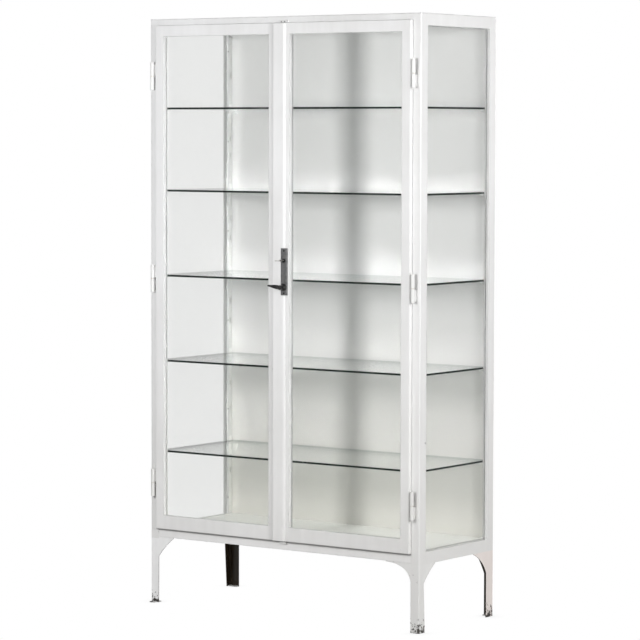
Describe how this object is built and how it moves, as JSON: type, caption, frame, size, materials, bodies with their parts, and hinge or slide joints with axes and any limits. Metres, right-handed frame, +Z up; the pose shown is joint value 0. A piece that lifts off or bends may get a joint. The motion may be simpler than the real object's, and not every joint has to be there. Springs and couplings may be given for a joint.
{
  "type": "glass door medical cabinet",
  "caption": "Tall free-standing cabinet of white folded steel on bracketed legs, with glazed doors and sides, glass shelves, barrel hinges and a lever bolt with a key lock.",
  "frame": {"origin": "middle of the bounding box at floor level", "axes": "+X to the right across the doors, +Y from the doors to the back, +Z up along the height"},
  "size_m": [1, 0.455, 1.8],
  "materials": {
    "white_paint": "semi-gloss off-white enamel, worn along edges",
    "inner_paint": "satin off-white enamel",
    "hinge_paint": "gloss white enamel",
    "leg_paint": "off-white enamel outside, dark primer inside, worn to metal at the feet",
    "clear_glass": "clear float glass",
    "shelf_glass": "clear glass with green polished edges",
    "bare_steel": "bare steel with dark wear",
    "lock_steel": "grey worn plate steel",
    "key_steel": "worn nickel",
    "dark_iron": "blackened iron, rubbed on high spots",
    "brass_parts": "dull brass"
  },
  "bodies": {
    "carcass": {"front_left_leg": "leg_paint", "front_right_leg": "leg_paint", "rear_left_leg": "leg_paint", "rear_right_leg": "leg_paint", "foot_plates": "bare_steel", "front_left_post": "white_paint", "front_right_post": "white_paint", "rear_left_post": "white_paint", "rear_right_post": "white_paint", "front_top_rail": "white_paint", "front_apron": "white_paint", "rear_top_rail": "white_paint", "rear_apron": "white_paint", "left_top_rail": "white_paint", "right_top_rail": "white_paint", "left_bottom_rail": "white_paint", "right_bottom_rail": "white_paint", "top_panel": "white_paint", "floor_pan": "inner_paint", "back_panel": "inner_paint", "left_side_glass": "clear_glass", "right_side_glass": "clear_glass", "left_side_beads": "white_paint", "right_side_beads": "white_paint", "shelf_1": "shelf_glass", "shelf_2": "shelf_glass", "shelf_3": "shelf_glass", "shelf_4": "shelf_glass", "shelf_5": "shelf_glass", "shelf_uprights": "inner_paint", "shelf_supports": "hinge_paint", "left_hinge_sockets": "hinge_paint", "right_hinge_sockets": "hinge_paint", "hinge_pins": "bare_steel", "hinge_washers": "brass_parts", "top_keep": "white_paint", "bottom_keep": "white_paint"},
    "left_door": {"left_door_frame": "white_paint", "left_door_glass": "clear_glass", "left_door_beads": "white_paint", "left_hinge_caps": "hinge_paint"},
    "right_door": {"right_door_frame": "white_paint", "right_door_glass": "clear_glass", "right_door_beads": "white_paint", "right_hinge_caps": "hinge_paint", "meeting_strip": "white_paint", "stile_cover": "white_paint", "lock_plate": "lock_steel", "keyhole_boss": "dark_iron", "lock_screws": "dark_iron", "lock_case": "bare_steel"},
    "lever": {"lever_handle": "dark_iron", "spindle": "bare_steel", "drive_pinion": "brass_parts"},
    "upper_bolt": {"upper_rod": "bare_steel"},
    "lower_bolt": {"lower_rod": "bare_steel"},
    "key": {"key": "key_steel"},
    "dead_bolt": {"dead_bolt": "brass_parts"}
  },
  "joints": [
    {"name": "right_door_swing", "type": "hinge", "parent": "carcass", "child": "right_door", "pos_m": [0.4825, -0.186, 1], "axis": [0, 0, 1], "range_deg": [0, 165]},
    {"name": "left_door_swing", "type": "hinge", "parent": "carcass", "child": "left_door", "pos_m": [-0.4825, -0.186, 1], "axis": [0, 0, -1], "range_deg": [0, 165]},
    {"name": "lever_turn", "type": "hinge", "parent": "right_door", "child": "lever", "pos_m": [0.022, -0.1925, 0.995], "axis": [0, -1, 0], "range_deg": [0, 90]},
    {"name": "upper_bolt_slide", "type": "slide", "parent": "right_door", "child": "upper_bolt", "axis": [0, 0, 1], "range_m": [0, 0.00942]},
    {"name": "lower_bolt_slide", "type": "slide", "parent": "right_door", "child": "lower_bolt", "axis": [0, 0, -1], "range_m": [0, 0.00945]},
    {"name": "key_turn", "type": "hinge", "parent": "right_door", "child": "key", "pos_m": [0.022, -0.1925, 1.075], "axis": [0, 1, 0], "range_deg": [0, 180]},
    {"name": "dead_bolt_slide", "type": "slide", "parent": "right_door", "child": "dead_bolt", "axis": [-1, 0, 0], "range_m": [0, 0.009]}
  ],
  "couplings": [
    {"joint": "left_door_swing", "follows": "right_door_swing", "ratio": 1},
    {"joint": "lower_bolt_slide", "follows": "upper_bolt_slide", "ratio": 1},
    {"joint": "lever_turn", "follows": "upper_bolt_slide", "rad_per_m": 166.67},
    {"joint": "key_turn", "follows": "dead_bolt_slide", "rad_per_m": 349.06}
  ]
}
